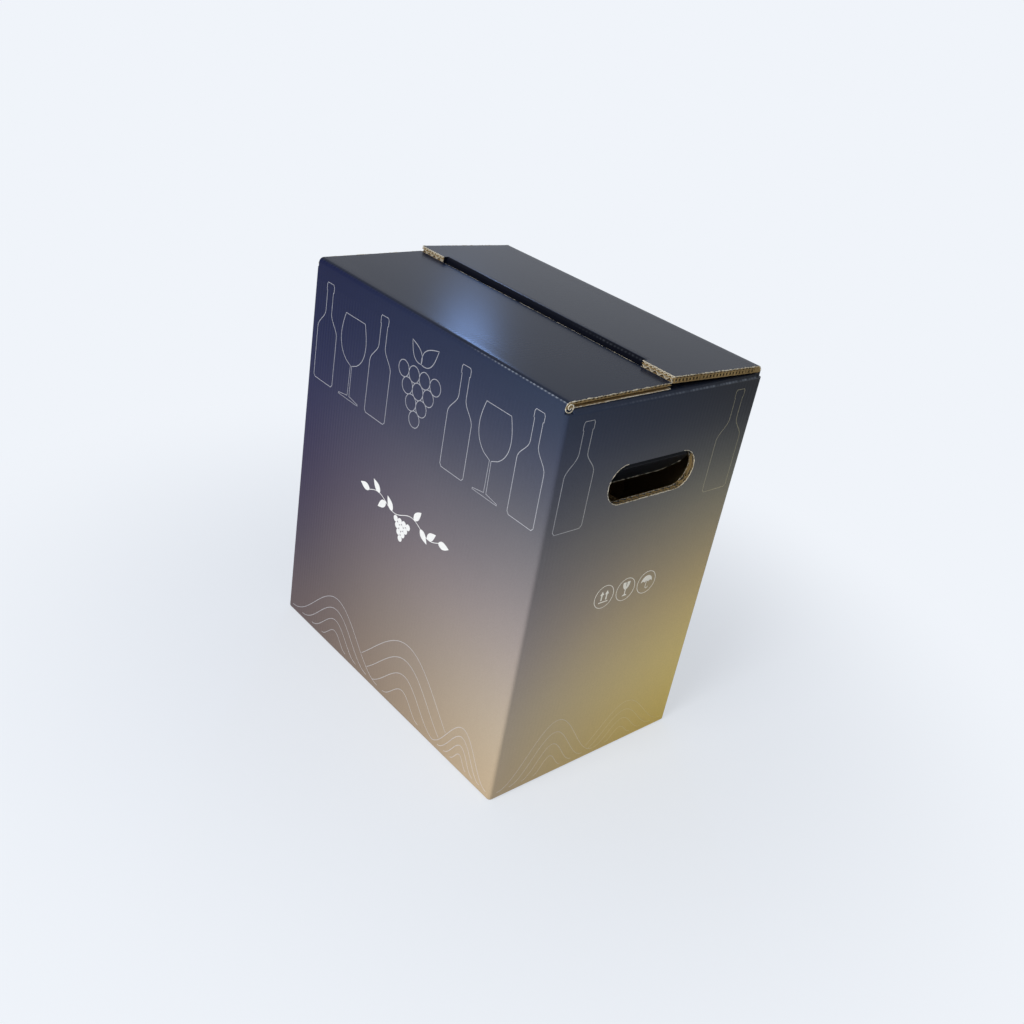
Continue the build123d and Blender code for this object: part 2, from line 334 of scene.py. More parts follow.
# Hand holes: the die cut lays the two flutes open all round the hole, so a groove runs between
# the liners, and the ends of the fluting stand in it. The cut leaves both liners frayed.
hole_width, hole_height = 0.086, 0.030
hole_middle = hinges["right_hand_flap_fold"].z - hole_height / 2
liner = 0.0004
fine_flute, coarse_flute = 0.0014, 0.0024
paper = 0.00032
flute_depth = 0.0045
rim_grow = 0.00022
hair = 0.0001
flute_places = ((liner, fine_flute, fine_pitch), (2 * liner + fine_flute, coarse_flute, coarse_pitch))


def apply_place(piece):
    only(piece)
    bpy.ops.object.transform_apply(location=True, rotation=True, scale=True)
    return piece


def pick(piece, where):
    """The vertices at those places are selected, in edit mode."""
    only(piece)
    bpy.ops.object.mode_set(mode="EDIT")
    bpy.ops.mesh.select_mode(type="VERT")
    bpy.ops.mesh.select_all(action="DESELECT")
    bpy.ops.object.mode_set(mode="OBJECT")
    for vertex in piece.data.vertices:
        vertex.select = where(vertex.co)
    bpy.ops.object.mode_set(mode="EDIT")


def add_slot(name, near, far, grow):
    """A plate with the hand hole's outline, that much larger, from near to far along X."""
    sides = 96
    bpy.ops.mesh.primitive_cylinder_add(
        vertices=sides, radius=hole_height / 2 + grow, depth=abs(far - near))
    piece = bpy.context.object
    piece.name = name
    piece.matrix_world = (Matrix.Translation(((near + far) / 2, 0, hole_middle))
                          @ Matrix.Rotation(math.pi / 2, 4, "Y") @ Matrix.Rotation(math.pi / sides, 4, "Z"))
    apply_place(piece)
    for side in (-1, 1):
        pick(piece, lambda co: co.y * side > 0)
        bpy.ops.transform.translate(value=(0, side * (hole_width - hole_height) / 2, 0))
    bpy.ops.object.mode_set(mode="OBJECT")
    return piece


def add_grid(name, columns, rows, shape, thick=paper, offset=0):
    """A sheet of paper on a grid. Shape gives each place on it, from its shares across and up."""
    bpy.ops.mesh.primitive_grid_add(x_subdivisions=columns, y_subdivisions=rows, size=1)
    piece = bpy.context.object
    piece.name = name
    for vertex in piece.data.vertices:
        vertex.co = shape(vertex.co.x + 0.5, vertex.co.y + 0.5)
    apply_modifier(piece, "SOLIDIFY", thickness=thick, offset=offset)
    return piece


def add_fluting(name, low, high, pitch, segments=10, colour=cut_kraft):
    """A wavy sheet of fluting that fills a box: it waves along X, and its cut ends along Y are pale."""
    reach = (high.z - low.z - paper) / 2

    def wave(across, up):
        x, y = low.x + across * (high.x - low.x), low.y + up * (high.y - low.y)
        return x, y, (low.z + high.z) / 2 + reach * math.cos(2 * math.pi * x / pitch)

    piece = add_grid(name, math.ceil((high.x - low.x) / pitch * segments), 1, wave)
    paint(piece, colour, torn_paper)
    for face in piece.data.polygons:
        if abs(face.normal.y) > 0.7:
            face.material_index = 1
    return piece


rim_flutes = []
for depth, height, pitch in flute_places:
    outer, inner = half_length - depth, half_length - depth - height
    groove = add_slot("groove", inner, outer, flute_depth)
    for turn in (0, math.pi):
        groove.data.transform(Matrix.Rotation(turn, 4, "Z"))
        combine(carton, groove, "DIFFERENCE")
    groove.data.transform(Matrix.Rotation(math.pi, 4, "Z"))
    corner = Vector((hole_width / 2 + flute_depth, hole_height, height / 2))
    fluting = add_fluting("fluting", -corner, corner, pitch)
    fluting.data.transform(
        Matrix.Translation(((inner + outer) / 2, 0, hole_middle))
        @ Matrix(((0, 0, 1, 0), (1, 0, 0, 0), (0, 1, 0, 0), (0, 0, 0, 1))))
    hole = add_slot("hole", inner - board, outer + board, grow=0.0002)
    combine(fluting, groove, "INTERSECT")
    combine(fluting, hole, "DIFFERENCE")
    remove(groove, hole)
    rim_flutes.append(fluting)


def join(name, pieces):
    """Those pieces as one."""
    only(pieces[0])
    for piece in pieces:
        piece.select_set(True)
    bpy.ops.object.join()
    pieces[0].name = pieces[0].data.name = name
    return pieces[0]


def smooth(piece, degrees=40):
    only(piece)
    bpy.ops.object.shade_smooth_by_angle(angle=math.radians(degrees))
    return piece


def curve_mesh(name, curve, colour):
    """A curve made a mesh, in one material."""
    only(add_object(name, curve))
    bpy.ops.object.convert(target="MESH")
    piece = bpy.context.object
    paint(piece, colour)
    return piece


def frayed_edge(name, corners, thick, colour, seed, step=0.0009, swells=(0.55, 0.8, 1.0, 1.0, 1.25)):
    """The torn rim of a liner along a line of corners: a thin bead, uneven as the die leaves it."""
    draw = random.Random(seed)
    places = []
    for start, end in zip(corners, corners[1:]):
        count = max(1, round((end - start).length / step))
        places += [start.lerp(end, i / count) for i in range(count)]
    places.append(corners[-1])
    curve = bpy.data.curves.new(name, "CURVE")
    curve.dimensions = "3D"
    curve.bevel_depth, curve.bevel_resolution, curve.use_fill_caps = thick, 1, True
    spline = curve.splines.new("POLY")
    spline.points.add(len(places) - 1)
    for point, place in zip(spline.points, places):
        shift = Vector(draw.uniform(-1, 1) for _ in range(3)) * thick * 0.35
        point.co = (*(place + shift), 1)
        point.radius = draw.choice(swells)
    return curve_mesh(name, curve, colour)


def arc(begin, sweep, steps):
    """The cosine and sine at even steps round a part of a circle."""
    angles = [begin + sweep * i / steps for i in range(steps + 1)]
    return [(math.cos(a), math.sin(a)) for a in angles]


def hole_outline(x):
    """The hand hole's cut edge at that X, from one end of its top fold round to the other."""
    radius, middle = hole_height / 2 + rim_grow, (hole_width - hole_height) / 2
    return [Vector((x, side * middle + radius * c, hole_middle + radius * s))
            for side, begin in ((-1, math.pi / 2), (1, -math.pi / 2)) for c, s in arc(begin, math.pi, 16)]


rim_edges = []
for x, thick, seed in ((half_length - hair, 0.00029, 3), (half_length - board + liner / 2, 0.00025, 4)):
    rim_edges.append(frayed_edge("rim_edge", hole_outline(x), thick, torn_paper, seed))
right_rim = smooth(join("right_hole_rim", rim_flutes + rim_edges))
left_rim = add_object("left_hole_rim", right_rim.data.copy())
left_rim.data.name = left_rim.name
left_rim.data.transform(Matrix.Rotation(math.pi, 4, "Z"))
for rim in (right_rim, left_rim):
    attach(rim, "carton")

# The carton's faces: print outside and over the slots at the top corners, kraft inside, and the
# board's raw section wherever it is cut, which is in the hand holes and at the inner flaps' edges.
paint(carton, wall_print, kraft_liner, cut_kraft)
slot_depth = 0.0025
near, skin = 0.00001, 0.001
wall_reach = 0.02
for face in carton.data.polygons:
    middle, normal = face.center, face.normal
    outward = middle.x * normal.x + middle.y * normal.y > wall_reach
    below = normal.z < -0.5 and middle.z < skin
    above = normal.z > 0.5 and middle.z > carton_high.z - skin
    in_board = abs(middle.x) > half_length - board + near or middle.z < 2 * board - near
    flap_edge = middle.z > carton_high.z - board + near
    in_slot = (abs(middle.x) > half_length - 2 * board and abs(middle.y) > half_width - 2 * board
               and middle.z > carton_high.z - slot_depth - near)
    printed = outward or below or above or in_slot
    face.material_index = 0 if printed else 2 if in_board or flap_edge else 1
smooth(carton)
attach(carton, "carton")
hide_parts("carton")

# The print's line work, in thin white ink over the fade: bottles, glasses and grapes along the top,
# hills of vines along the bottom, a sprig on the long walls and handling marks on the ends.
ink_thick = 0.00004
line_wide = 0.0006
band_foot, band_tall = 0.226, 0.080
hill_foot = 0.006

line_ink, tree, shader, place = new_material("line_ink", 0.35, 0.12)
ink_sky = add_group(tree, sky_group)
ink_cover = add_range(tree, ink_sky["Warmth"], 0.0, 1.0, 0.42, 0.2)
ink_grain = add_group(tree, grain_group, {"Across": place["X"]})
ink_fleck = add_range(tree, ink_grain["Speck"], 0.3, 0.7, 0.75, 1.15)
ink_cover = multiply(tree, ink_cover, ink_fleck)
ink_pale = mix_colour(tree, ink_sky["Warmth"], tint(232, 232, 236), tint(250, 236, 176))
ink_colour = mix_colour(tree, ink_cover, ink_sky["Color"], ink_pale)
tree.links.new(ink_colour, shader.inputs["Base Color"])


def solid_ink(name, colour, flecked):
    """Opaque pale ink, with flecks where the paper's grain has taken less of it."""
    made, tree, shader, place = new_material(name, 0.35, 0.12)
    grain = add_group(tree, grain_group, {"Across": place["X"]})
    fleck = add_range(tree, grain["Speck"], 0.3, 0.7, 0.12, 0.0)
    tree.links.new(mix_colour(tree, fleck, colour, flecked), shader.inputs["Base Color"])
    return made


sprig_ink = solid_ink("sprig_ink", tint(226, 225, 222), tint(184, 182, 178))
mark_ink = solid_ink("mark_ink", tint(250, 243, 226), tint(212, 203, 186))


def circle(across, up, radius, count=20):
    return [(across + radius * c, up + radius * s) for c, s in arc(0, 2 * math.pi, count)[:-1]]


def both_sides(across, up, side):
    """A closed outline from its right side, given as steps out and up, and mirrored."""
    return [(across + x, up + y) for x, y in side] + [(across - x, up + y) for x, y in reversed(side)]


def bottle(across, up, tall):
    """A bottle's outline: straight body, round shoulder, neck and lip."""
    body, neck, lip = 0.165 * tall, 0.05 * tall, 0.06 * tall
    side = [(0.86 * body, 0), (body, 0.025 * tall), (body, 0.52 * tall)]
    for i in range(1, 11):
        narrowing = (1 + math.cos(math.pi * i / 10)) / 2
        side.append((neck + (body - neck) * narrowing, (0.52 + 0.02 * i) * tall))
    side += [(neck, 0.92 * tall), (lip, 0.925 * tall), (lip, 0.98 * tall), (0.8 * lip, tall)]
    return both_sides(across, up, side)


def glass(across, up, tall):
    """A stemmed glass's outline."""
    shares = [(0.2, 0), (0.2, 0.015), (0.02, 0.045), (0.014, 0.42)]
    for i in range(1, 15):
        rise = i / 14
        shares.append((0.25 * math.sin(0.72 * math.pi * rise ** 0.6), 0.42 + 0.58 * rise))
    return both_sides(across, up, [(x * tall, y * tall) for x, y in shares])


def grapes(across, up, radius, rows=4):
    """A bunch of round grapes that touch, widest at the top."""
    bunch = []
    for row in range(rows):
        for i in range(rows - row):
            aside = (i - (rows - row - 1) / 2) * 2 * radius
            bunch.append(circle(across + aside, up - row * math.sqrt(3) * radius, radius))
    return bunch


def leaf(across, up, length, angle):
    """A pointed leaf that grows from a place at that angle."""
    shares = [i / 12 for i in range(13)]
    side = [(length * s, 0.24 * length * math.sin(math.pi * s ** 0.75)) for s in shares]
    points = side + [(x, -y) for x, y in reversed(side[1:-1])]
    cosine, sine = math.cos(angle), math.sin(angle)
    return [(across + x * cosine - y * sine, up + x * sine + y * cosine) for x, y in points]


def hill_top(x, across, half, rise):
    """A hill's height at that place."""
    return hill_foot + rise * math.cos(math.pi / 2 * min(abs(x - across) / half, 1)) ** 2


def hill_lines(hills):
    """Rounded hills with rows of vines on them, the ones behind hidden by the ones in front."""
    lines = []
    for order, (across, half, rise) in enumerate(hills):
        for share in (1.0, 0.76, 0.52, 0.28):
            run = []
            for i in range(-40, 41):
                x = across + share * half * i / 40
                y = hill_foot + share * rise * math.cos(math.pi * i / 80) ** 2
                if any(y < hill_top(x, *front) for front in hills[:order]):
                    lines.append(run)
                    run = []
                else:
                    run.append((x, y))
            lines.append(run)
    return [line for line in lines if len(line) > 1]


def draw_print(name, turn, reach, lines, outlines, fields, wide, colour):
    """Print on the wall that far from the middle, turned round from the front. It is drawn as X across
    and Y up, and a hair thick: open lines, closed outlines and filled fields."""
    drawn = []
    strokes = [(line, False) for line in lines] + [(line, True) for line in outlines]
    for kind, shapes in (("strokes", strokes), ("fields", [(field, True) for field in fields])):
        if not shapes:
            continue
        curve = bpy.data.curves.new(kind, "CURVE")
        if kind == "strokes":
            curve.dimensions = "3D"
            curve.bevel_depth, curve.bevel_resolution, curve.use_fill_caps = wide / 2, 1, True
        else:
            curve.dimensions, curve.fill_mode, curve.extrude = "2D", "BOTH", ink_thick
        for points, closed in shapes:
            spline = curve.splines.new("POLY")
            spline.points.add(len(points) - 1)
            spline.use_cyclic_u = closed
            for point, (x, y) in zip(spline.points, points):
                point.co = (x, y, 0, 1)
        drawn.append(curve_mesh(kind, curve, colour))
        if kind == "strokes":
            drawn[-1].data.transform(Matrix.Diagonal((1, 1, 2 * ink_thick / wide, 1)))
    piece = join(name, drawn)
    piece.data.transform(
        Matrix.Rotation(turn, 4, "Z") @ Matrix.Translation((0, -reach, 0))
        @ Matrix.Rotation(math.pi / 2, 4, "X"))
    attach(piece, "carton")


long_outlines = [bottle(x, band_foot, band_tall) for x in (-0.121, -0.049, 0.046, 0.120)]
long_outlines += [glass(x, band_foot, 0.82 * band_tall) for x in (-0.085, 0.083)]
bunch_across = -0.002
long_outlines += grapes(bunch_across, band_foot + 0.052, 0.0062)
for length, angle in ((0.024, 0.75), (0.019, 2.3)):
    long_outlines.append(leaf(bunch_across, band_foot + 0.062, length, angle))
long_hills = hill_lines(((-0.070, 0.066, 0.044), (0.104, 0.034, 0.034), (0.028, 0.088, 0.060)))
end_outlines = [bottle(x, band_foot, band_tall) for x in (-0.075, 0.075)]
end_hills = hill_lines(((-0.040, 0.050, 0.048), (0.038, 0.052, 0.036)))

sprig_up = 0.168
sprig_reach, sprig_wave = 0.044, 0.0035


def sprig_place(share):
    """A place on the waving stem, as a share of its reach to one side."""
    return sprig_reach * share, sprig_up + sprig_wave * math.sin(2 * math.pi * share)


sprig_stem = [[sprig_place(i / 20) for i in range(-20, 21)]]
sprig_fields = grapes(0, sprig_up - 0.0065, 0.0026)
for side in (-1, 1):
    for share, angle in ((0.3, 0.9), (0.5, -0.7), (0.7, 0.7), (1.0, 0.1)):
        bend = angle if side > 0 else math.pi - angle
        sprig_fields.append(leaf(*sprig_place(side * share), 0.0125, bend))

mark_aside, mark_up, mark_radius, mark_step = 0.0014, 0.159, 0.0095, 0.0222
ring_drawn = 10.5
mark_size = mark_radius / ring_drawn
arrow_side = [(0.75, -3.2), (0.75, 2.0), (2.1, 2.0), (0.01, 5.6)]
arrow_bar = [(-5.2, -5.4), (5.2, -5.4), (5.2, -4.4), (-5.2, -4.4)]
glass_side = [
    (2.6, -6.2), (2.6, -5.6), (0.5, -4.6), (0.5, -0.2), (1.6, 0.4), (3.2, 2.2), (3.9, 4.5), (4.0, 7.0)]
glass_crack = [(-0.8, 7.0), (0.0, 4.6), (-0.6, 4.2), (0.7, 2.0), (0.2, 4.0), (0.9, 4.5), (0.3, 7.0)]
canopy = circle(0, 0, 6.5, 40)[:21]
canopy += [(-6.5 + 13 * i / 24, 1.3 * abs(math.sin(math.pi * i / 8))) for i in range(1, 24)]
hook = [(0, 5)] + circle(1.5, -4.6, 1.5, 16)[8:] + [(3.0, -4.6)]
mark_fields = (
    [both_sides(-2.7, 0, arrow_side), both_sides(2.7, 0, arrow_side), arrow_bar],
    [glass_side + glass_crack[::-1] + [(-x, y) for x, y in reversed(glass_side)]],
    [canopy],
)


def at_mark(points, place):
    """A mark's points, drawn in its circle at that place in the row."""
    return [(mark_aside + place * mark_step + x * mark_size, mark_up + y * mark_size) for x, y in points]


marks = [at_mark(field, place) for place, fields in zip((-1, 0, 1), mark_fields) for field in fields]
mark_lines = [at_mark(hook, 1)]
mark_rings = [at_mark(circle(0, 0, ring_drawn, 40), place) for place in (-1, 0, 1)]
ring_wide = 0.9 * line_wide
for wall, turn in (("front", 0), ("rear", math.pi)):
    draw_print(wall + "_line_print", turn, half_width, long_hills, long_outlines, [], line_wide, line_ink)
    draw_print(wall + "_sprig_print", turn, half_width, sprig_stem, [], sprig_fields, line_wide, sprig_ink)
for wall, turn in (("right", math.pi / 2), ("left", -math.pi / 2)):
    draw_print(wall + "_line_print", turn, half_length, end_hills, end_outlines, [], line_wide, line_ink)
    draw_print(wall + "_mark_print", turn, half_length, mark_lines, mark_rings, marks, ring_wide, mark_ink)

# The front flap: a panel of the same sheet, turned in at its crease. The board shows its build at
# the cut edges: three liners with a fine and a coarse flute between, the outer liner torn white.
flap_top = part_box("front_flap")[1].z
flap_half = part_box("front_flap")[1].x
flap_reach = 0.096
fold_radius = 0.004
board_start = 0.005
root_reach, root_inset, root_sunk, root_press = 0.007, 0.00005, 0.00002, 0.001
ragged_step, ragged_hollow, ragged_inset, ragged_short = 0.0006, 0.0005, 0.0003, 0.0005
touch = 1e-6
flap_print = printed_material("flap_print", "X", 0.2, 0.05, tint(29, 35, 50), 0.82, roughness=0.2)


def add_sheet(name, low, high, colour):
    """One flat sheet of paper between two corners."""
    bpy.ops.mesh.primitive_cube_add(size=1, location=(low + high) / 2, scale=high - low)
    piece = apply_place(bpy.context.object)
    piece.name = name
    paint(piece, colour)
    return piece


def add_board(left, right, near, far, open_ends, flute_colour=cut_kraft):
    """Double-wall board, its printed face up at Z 0 and its flutes along Y: five sheets of paper.
    Each fluting stops that far short of the two ends."""
    sheets = []
    for top, colour in ((0, flap_print), (liner + fine_flute, kraft_liner), (board - liner, kraft_liner)):
        low, high = Vector((left, near, -top - liner)), Vector((right, far, -top))
        sheets.append(add_sheet("liner", low, high, colour))
    for (depth, height, pitch), gap in zip(flute_places, open_ends):
        low, high = Vector((left + gap, near, -depth - height)), Vector((right - gap, far, -depth))
        sheets.append(add_fluting("fluting", low, high, pitch, colour=flute_colour))
    return sheets


def add_ragged_end(side, flute, seed):
    """The side of a fluting at a flap's end, where the cut runs along it and leaves it ragged."""
    draw = random.Random(seed)
    depth, height, _ = flute_places[flute]
    outer, length = flap_half - ragged_inset, flap_reach - ragged_short - board_start
    count = round(length / ragged_step)
    notch = []
    for i in range(count + 1):
        wave = 1 + math.sin(math.pi / 3 * i)
        notch.append(ragged_hollow * wave + draw.uniform(-1, 1) * 0.3 * ragged_hollow)

    def cut(along, up):
        i = round(along * count)
        return side * (outer - notch[i]), board_start + length * i / count, -depth - height * (1 - up)

    piece = add_grid("ragged_end", count, 1, cut)
    paint(piece, cut_kraft, painted_flute_shade)
    # Faces deep in the notches take the dark kraft: painted shade in the hollows.
    for face in piece.data.polygons:
        if abs(face.center.x) < outer - ragged_hollow:
            face.material_index = 1
    return piece


def bevel_edge(piece, where, offset, segments):
    """The edge between the corners at those places, rounded or cut off."""
    pick(piece, where)
    bpy.ops.mesh.bevel(offset=offset, segments=segments, affect="EDGES")
    bpy.ops.object.mode_set(mode="OBJECT")


def add_fold_root():
    """The board's crushed end at its fold: round outside, pressed flat inside."""
    low, high = Vector((-flap_half, root_inset, -board)), Vector((flap_half, root_reach, -root_sunk))
    root = add_sheet("root", low, high, cut_kraft)
    bevel_edge(root, lambda co: co.y < low.y + touch and co.z > high.z - touch, fold_radius, 10)
    bevel_edge(root, lambda co: co.y < low.y + touch and co.z < low.z + touch, root_press, 1)
    paint(root, cut_kraft, flap_print)
    for face in root.data.polygons:
        if abs(face.normal.x) < 0.5 and (face.normal.z > 0.1 or face.normal.y < -0.8):
            face.material_index = 1
    return root


def flap_rim(side, corners, free_thick, free_lift, inner_colour, seed):
    """Torn rims of the three liners: along one end of a flap from its fold, then along its free edge,
    where they stand that much higher."""
    rims = []
    outer, inner = (0.75 * liner, 0.0004, torn_paper), (board - liner, 0.00034, inner_colour)
    for depth, thick, colour in (outer, inner, (1.5 * liner + fine_flute, 0.00024, cut_kraft)):
        start = [Vector((side * flap_half, fold_radius, -depth))]
        if depth < liner:
            radius = fold_radius - depth
            start = [Vector((side * flap_half, fold_radius + radius * c, radius * s - fold_radius))
                     for c, s in arc(math.pi, -math.pi / 2, 6)]
        end = Vector((side * corners[0][0], corners[0][1], -depth))
        line = [Vector((side * x, y, free_lift - depth)) for x, y in corners]
        draws = seed + int(depth * 1e5)
        rims.append(frayed_edge("rim", start + [end], thick, colour, draws, 0.0012, (0.3, 0.6, 0.9, 1.2)))
        rims.append(frayed_edge("rim", line, free_thick, colour, draws + 1, swells=(0.8, 1.0, 1.1)))
    return rims


front_pieces = add_board(-flap_half, flap_half, board_start, flap_reach, open_ends=(0.001, 0.0035))
front_pieces.append(add_fold_root())
for side in (-1, 1):
    front_pieces.append(add_ragged_end(side, 0, 21 + side))
    corners = ((flap_half, flap_reach), (0, flap_reach))
    front_pieces += flap_rim(
        side, corners, free_thick=0.00015, free_lift=0.0002, inner_colour=torn_paper, seed=11 + side)
front_board = join("front_flap_board", front_pieces)
front_board.data.transform(Matrix.Translation((0, -half_width, flap_top)))
smooth(front_board)
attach(front_board, "front_flap")
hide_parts("front_flap")

# Curls at the ends of the front fold: the outer liner is slit there, and its edge has rolled up
# inside the corner slot into a small round spiral of pale paper.
curl_middle = Vector((0, fold_radius - half_width, flap_top - fold_radius))
curl_turns, curl_steps = 1.35, 48
curl_outer, curl_shrink = 0.0039, 0.0029
curl_thick, curl_proud = 0.00042, 0.0003
curls = []
for side in (-1, 1):
    spiral = []
    for i in range(curl_steps + 1):
        angle = math.pi * (1 + 2 * curl_turns * i / curl_steps)
        radius = curl_outer - curl_shrink * (i / curl_steps) ** 0.9
        x = side * (flap_half + curl_proud)
        spiral.append(curl_middle + Vector((x, radius * math.cos(angle), radius * math.sin(angle))))
    curls.append(frayed_edge("curl", spiral, curl_thick, torn_paper, 31 + side, 0.001, (0.9, 1.0, 1.1)))
fold_curls = smooth(join("front_fold_curls", curls), 60)
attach(fold_curls, "carton")

# The rear flap: as the front one, with a tuck tab turned down along its free edge. It stands a
# little open, so the tab's fold shows in the gap, between two short ends of cut board. The tab's
# fold and sides, and the ears' ends, are painted near-black as the shade in that gap.
rear_lift = math.radians(2.5)
tab_half, tab_depth, tab_setback = 0.111, 0.022, 0.0025
tab_face = flap_reach - tab_setback
tab_bend, tab_corner = 0.0025, 0.008
tab_lap, tab_back = 0.0005, 0.003
board_end = tab_face - board + tab_lap
ear_half, ear_back = 0.0003, 0.001

tab_top = flap_top + (flap_reach - tab_back) * math.sin(rear_lift)
# The tab's print is a near-black overprint: painted shade in the gap under the flap. Pale dots of cracked
# print run along its fold.
tab_wear = fold_dots("X", tab_top - 0.0016, 0.001, 0.03, tab_half, 0.1, 0.12)
tab_painted_shade = printed_material("tab_painted_shade", "X", 0.2, 0.04, tint(8, 10, 19), 0.98, tab_wear, 0.5)
rear_pieces = add_board(-flap_half, flap_half, board_start, board_end, open_ends=(0.001, 0.001))
rear_pieces.append(add_fold_root())
for side in (-1, 1):
    left, right = sorted((side * tab_half, side * flap_half))
    rear_pieces += add_board(left, right, board_end, flap_reach, (0.0006, 0.0006), torn_paper)
    for flute in (0, 1):
        rear_pieces.append(add_ragged_end(side, flute, 50 + side + 4 * flute))
    corners = ((flap_half, flap_reach), (tab_half, flap_reach))
    rear_pieces += flap_rim(
        side, corners, free_thick=0.0003, free_lift=0.0, inner_colour=cut_kraft, seed=40 + side)
    # The ears' ends, beside the tab, are covered in the same near-black: painted shade.
    inner, outer = sorted((side * (tab_half - ear_half), side * (tab_half + ear_half)))
    low, high = Vector((inner, tab_face - ear_back, -board)), Vector((outer, flap_reach - hair, -hair))
    rear_pieces.append(add_sheet("ear_end", low, high, tab_painted_shade))
low, high = Vector((-tab_half, tab_face - board, -tab_depth)), Vector((tab_half, tab_face, 0))
tab = add_sheet("tab", low, high, cut_kraft)
bevel_edge(tab, lambda co: co.y > tab_face - touch and co.z > -touch, tab_bend, 8)
for side in (-1, 1):
    bevel_edge(tab, lambda co: co.x * side > tab_half - touch and co.z < touch - tab_depth, tab_corner, 8)
paint(tab, cut_kraft, tab_painted_shade, flap_print)
# Top face in the flap's print and back faces in kraft. The fold, outer face and sides are near-black:
# painted shade in the gap.
for face in tab.data.polygons:
    if face.normal.z > 0.95:
        face.material_index = 2
    elif abs(face.normal.x) > 0.9 or face.normal.z > 0.1 or face.normal.y > 0.1:
        face.material_index = 1
rear_board = join("rear_flap_board", rear_pieces + [tab])
rear_hinge = hinges["rear_flap_fold"]
rear_board.data.transform(
    Matrix.Translation(rear_hinge) @ Matrix.Rotation(-rear_lift, 4, "X") @ Matrix.Translation(-rear_hinge)
    @ Matrix.Translation((0, half_width, flap_top)) @ Matrix.Rotation(math.pi, 4, "Z"))
smooth(rear_board)
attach(rear_board, "rear_flap")
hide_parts("rear_flap")

# The outer flaps' creases: the outer liner runs on from the wall over the fold into the flap. It
# is scored there, so it bends in one line, with the flutes' beads and cracked print along it.
crease_reach, crease_flat = 0.02, 0.008
crease_proud, crease_sunk, crease_thick = 0.00005, 0.00002, 0.00004
bead_high = 0.00014
crease_wear = fold_dots("X", hinges["front_flap_fold"].z + 0.0002, 0.0007, 0.03, 0.09, 0.2, 0.5)
crease_print = printed_material("crease_print", "X", 0.25, 0.08, wear_and_highlight=crease_wear)


def add_crease(name, turn, lift, seed):
    """The outer liner over a flap's fold, as a strip bent to the fold's profile."""
    draw = random.Random(seed)
    profile = [Vector((-crease_sunk, -crease_reach, 0)), Vector((crease_proud, -crease_flat, 0))]
    steps = 12
    apex = fold_radius * (math.cos(math.pi / 4) - 1)
    radius = fold_radius + crease_proud
    for i in range(steps + 1):
        angle = math.pi / 2 * i / steps
        out, up = radius * math.cos(angle) - fold_radius, radius * math.sin(angle) - fold_radius
        profile.append(Vector((out, up, math.sin(2 * angle) ** 4)))
    profile += [Vector((-crease_flat, crease_proud, 0)), Vector((-crease_reach, -crease_sunk, 0))]
    for point in profile[steps // 2 + 3:]:
        inward, up = apex - point.x, point.y - apex
        point.x = apex - inward * math.cos(lift) + up * math.sin(lift)
        point.y = apex + inward * math.sin(lift) + up * math.cos(lift)
    columns, rows = round(2 * flap_half / (fine_pitch / 4)), len(profile) - 1
    swell = [draw.uniform(0.2, 1.0) for _ in range(columns + 1)]

    def bend(across, up):
        column = round(across * columns)
        out, height, crest = profile[round(up * rows)]
        x = (column / columns - 0.5) * 2 * flap_half
        bead = bead_high * crest * abs(math.sin(math.pi * x / fine_pitch)) * swell[column]
        return x, -out - bead, height + bead

    piece = add_grid(name, columns, rows, bend, crease_thick, -1)
    piece.data.transform(Matrix.Rotation(turn, 4, "Z") @ Matrix.Translation((0, -half_width, flap_top)))
    return smooth(piece, 60)


bend_zone, print_line = 0.0005, 0.0007
for name, body, turn, side, lift in (("front_crease", "front_flap", 0, -1, 0.0),
                                     ("rear_crease", "rear_flap", math.pi, 1, rear_lift)):
    crease = add_crease(name, turn, lift, 5 + side)
    hinge = hinges[body + "_fold"]
    paint(crease, crease_print, flap_print)
    for face in crease.data.polygons:
        if (face.center - hinge).dot(Vector((0, -side, 1))) > print_line:
            face.material_index = 1
    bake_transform(crease)

# Hand-hole flaps: the hole's own blank, pushed in and still hanging from the crease at the top of
# the hole. The liner runs over that edge into the flap, whose free edge is torn. Flap and liner are
# painted near-black: painted shade inside the hole.
hand_lift = math.radians(40)
hand_kerf, hand_gap = 0.0008, 0.0003
hand_height = hole_height - hand_kerf - hand_gap
edge_thick, edge_inset = 0.00055, 0.0004
roll_straight, roll_past = (hole_width - hole_height) / 2, 0.009
roll_columns = 90
# A near-black overprint over the fade, where the wall's print would run on: painted shade inside the hole.
hole_painted_shade = printed_material("hole_painted_shade", "XY", 0.2, 0.01, tint(14, 15, 18), 0.9)
hinge = hinges["right_hand_flap_fold"]
face_way = Vector((math.cos(hand_lift), 0, -math.sin(hand_lift)))
hang_way = Vector((-math.sin(hand_lift), 0, -math.cos(hand_lift)))

radius, middle = hand_height / 2 - edge_inset, (hole_width - 2 * hand_kerf - hand_height) / 2
free_edge = []
for side, begin in ((-1, math.pi), (1, -math.pi / 2)):
    for c, s in arc(begin, math.pi / 2, 10):
        z = radius * s - hand_gap - hand_height / 2
        free_edge.append(Vector((board - hair, side * middle + radius * c, z)))
rim_corner = Vector((board - hair, 0, hair))
flap_corner = face_way * (board + 0.00006) + hang_way * hand_gap
profile = [rim_corner + Vector((-0.0002, 0, 0.0003)), rim_corner, Vector((board - 0.0014, 0, -0.0008))]
profile += [profile[-1].lerp(flap_corner, i / 6) for i in range(1, 7)]
profile += [flap_corner + hang_way * 0.003, flap_corner + hang_way * 0.004 - face_way * hair]
roll_rows, rim_rows = len(profile) - 1, 3


